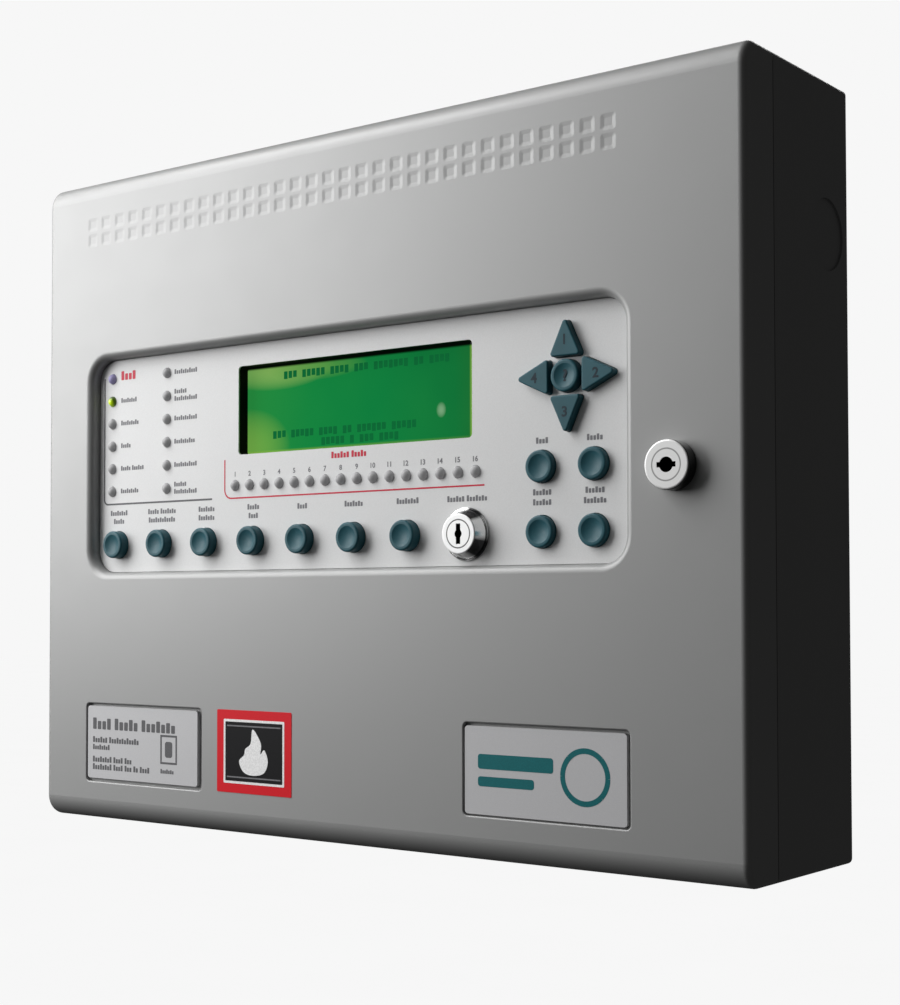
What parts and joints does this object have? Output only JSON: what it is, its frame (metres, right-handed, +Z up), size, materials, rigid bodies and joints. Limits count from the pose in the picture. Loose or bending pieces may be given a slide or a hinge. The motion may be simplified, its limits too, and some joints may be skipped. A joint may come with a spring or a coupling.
{
  "type": "fire alarm control panel",
  "caption": "Wall-mounted alarm control panel: steel back box and hinged door with display, lamps, push keys, arrow keys, enable key switch and door lock.",
  "frame": {"origin": "centre of the four wall-fixing holes, on the back face that lies against the wall", "axes": "+X to the operator's right, +Y into the wall, +Z up; the door faces -Y"},
  "size_m": [0.3816, 0.096, 0.3122],
  "materials": {
    "box_paint": "fine textured grey powder coat",
    "door_paint": "smooth light grey satin paint",
    "fascia_film": "light grey printed overlay",
    "label_film": "silver grey printed film",
    "sticker_red": "glossy red printed label",
    "hinge_steel": "plain rolled steel",
    "satin_chrome": "satin chrome plate",
    "zinc_steel": "bright zinc plate",
    "bright_chrome": "bright chrome plate",
    "gasket_black": "black moulded foam",
    "lcd_glass": "clear display glass",
    "frame_black": "black coated steel",
    "lcd_backlight": "green diffuser",
    "board_green": "green solder mask",
    "black_plastic": "moulded black",
    "lamp_grey": "tinted unlit lens",
    "lamp_lit": "lit green lens",
    "terminal_green": "moulded green",
    "relay_blue": "moulded blue case",
    "fuse_glass": "clear glass tube",
    "capacitor_sleeve": "shrink sleeve",
    "psu_case": "plain folded sheet",
    "terminal_white": "moulded off-white",
    "battery_case": "moulded dark grey",
    "strap_webbing": "woven black webbing",
    "lead_insulation": "flexible insulation",
    "ribbon_grey": "grey flat cable",
    "earth_brass": "plain brass",
    "key_teal": "moulded blue-grey"
  },
  "bodies": {
    "enclosure": {"back_box": "box_paint", "earth_stud": "earth_brass", "hinge_box_leaf": "hinge_steel", "hinge_pin": "hinge_steel", "main_board": "board_green", "board_fixings": "zinc_steel", "terminal_blocks": "terminal_green", "relays": "relay_blue", "fuses": "fuse_glass", "capacitors": "capacitor_sleeve", "control_ics": "black_plastic", "power_supply": "psu_case", "mains_terminals": "terminal_white", "battery_left": "battery_case", "battery_right": "battery_case", "battery_tray": "zinc_steel", "battery_strap": "strap_webbing", "battery_leads": "lead_insulation", "ribbon_cable": "ribbon_grey", "main_socket": "black_plastic"},
    "door": {"door_shell": "door_paint", "fascia": "fascia_film", "info_plate": "label_film", "brand_plate": "label_film", "square_sticker": "sticker_red", "hinge_door_leaf": "hinge_steel", "door_lock_body": "satin_chrome", "key_switch_body": "bright_chrome", "panel_nuts": "zinc_steel", "lcd_gasket": "gasket_black", "lcd_glass": "lcd_glass", "lcd_frame": "frame_black", "lcd_backlight": "lcd_backlight", "lcd_board": "board_green", "display_board": "board_green", "display_fixings": "zinc_steel", "tact_switches": "black_plastic", "buzzer": "black_plastic", "signal_lamps": "lamp_grey", "power_lamp": "lamp_lit", "display_socket": "black_plastic"},
    "door_lock": {"door_lock_plug": "satin_chrome", "door_lock_cam": "zinc_steel"},
    "key_switch": {"key_switch_plug": "satin_chrome"},
    "key_row_1": {"key_row_1": "key_teal"},
    "key_row_2": {"key_row_2": "key_teal"},
    "key_row_3": {"key_row_3": "key_teal"},
    "key_row_4": {"key_row_4": "key_teal"},
    "key_row_5": {"key_row_5": "key_teal"},
    "key_row_6": {"key_row_6": "key_teal"},
    "key_row_7": {"key_row_7": "key_teal"},
    "key_side_1": {"key_side_1": "key_teal"},
    "key_side_2": {"key_side_2": "key_teal"},
    "key_side_3": {"key_side_3": "key_teal"},
    "key_side_4": {"key_side_4": "key_teal"},
    "key_up": {"key_up": "key_teal"},
    "key_right": {"key_right": "key_teal"},
    "key_down": {"key_down": "key_teal"},
    "key_left": {"key_left": "key_teal"},
    "key_centre": {"key_centre": "key_teal"}
  },
  "joints": [
    {"name": "door_hinge", "type": "hinge", "parent": "enclosure", "child": "door", "pos_m": [-0.1882, -0.066, 0], "axis": [0, 0, -1], "range_deg": [0, 100], "deforming": ["ribbon_cable"]},
    {"name": "door_lock_turn", "type": "hinge", "parent": "door", "child": "door_lock", "pos_m": [0.1612, -0.096, -0.0006], "axis": [0, 1, 0], "range_deg": [0, 90]},
    {"name": "key_switch_turn", "type": "hinge", "parent": "door", "child": "key_switch", "pos_m": [0.0619, -0.0903, -0.0235], "axis": [0, 1, 0], "range_deg": [0, 90]},
    {"name": "key_row_1_press", "type": "slide", "parent": "door", "child": "key_row_1", "axis": [0, 1, 0], "range_m": [0, 0.0008], "stiffness_N_per_m": 300, "springref_m": -0.003},
    {"name": "key_row_2_press", "type": "slide", "parent": "door", "child": "key_row_2", "axis": [0, 1, 0], "range_m": [0, 0.0008], "stiffness_N_per_m": 300, "springref_m": -0.003},
    {"name": "key_row_3_press", "type": "slide", "parent": "door", "child": "key_row_3", "axis": [0, 1, 0], "range_m": [0, 0.0008], "stiffness_N_per_m": 300, "springref_m": -0.003},
    {"name": "key_row_4_press", "type": "slide", "parent": "door", "child": "key_row_4", "axis": [0, 1, 0], "range_m": [0, 0.0008], "stiffness_N_per_m": 300, "springref_m": -0.003},
    {"name": "key_row_5_press", "type": "slide", "parent": "door", "child": "key_row_5", "axis": [0, 1, 0], "range_m": [0, 0.0008], "stiffness_N_per_m": 300, "springref_m": -0.003},
    {"name": "key_row_6_press", "type": "slide", "parent": "door", "child": "key_row_6", "axis": [0, 1, 0], "range_m": [0, 0.0008], "stiffness_N_per_m": 300, "springref_m": -0.003},
    {"name": "key_row_7_press", "type": "slide", "parent": "door", "child": "key_row_7", "axis": [0, 1, 0], "range_m": [0, 0.0008], "stiffness_N_per_m": 300, "springref_m": -0.003},
    {"name": "key_side_1_press", "type": "slide", "parent": "door", "child": "key_side_1", "axis": [0, 1, 0], "range_m": [0, 0.0008], "stiffness_N_per_m": 300, "springref_m": -0.003},
    {"name": "key_side_2_press", "type": "slide", "parent": "door", "child": "key_side_2", "axis": [0, 1, 0], "range_m": [0, 0.0008], "stiffness_N_per_m": 300, "springref_m": -0.003},
    {"name": "key_side_3_press", "type": "slide", "parent": "door", "child": "key_side_3", "axis": [0, 1, 0], "range_m": [0, 0.0008], "stiffness_N_per_m": 300, "springref_m": -0.003},
    {"name": "key_side_4_press", "type": "slide", "parent": "door", "child": "key_side_4", "axis": [0, 1, 0], "range_m": [0, 0.0008], "stiffness_N_per_m": 300, "springref_m": -0.003},
    {"name": "key_up_press", "type": "slide", "parent": "door", "child": "key_up", "axis": [0, 1, 0], "range_m": [0, 0.0008], "stiffness_N_per_m": 300, "springref_m": -0.003},
    {"name": "key_right_press", "type": "slide", "parent": "door", "child": "key_right", "axis": [0, 1, 0], "range_m": [0, 0.0008], "stiffness_N_per_m": 300, "springref_m": -0.003},
    {"name": "key_down_press", "type": "slide", "parent": "door", "child": "key_down", "axis": [0, 1, 0], "range_m": [0, 0.0008], "stiffness_N_per_m": 300, "springref_m": -0.003},
    {"name": "key_left_press", "type": "slide", "parent": "door", "child": "key_left", "axis": [0, 1, 0], "range_m": [0, 0.0008], "stiffness_N_per_m": 300, "springref_m": -0.003},
    {"name": "key_centre_press", "type": "slide", "parent": "door", "child": "key_centre", "axis": [0, 1, 0], "range_m": [0, 0.0008], "stiffness_N_per_m": 300, "springref_m": -0.003}
  ]
}
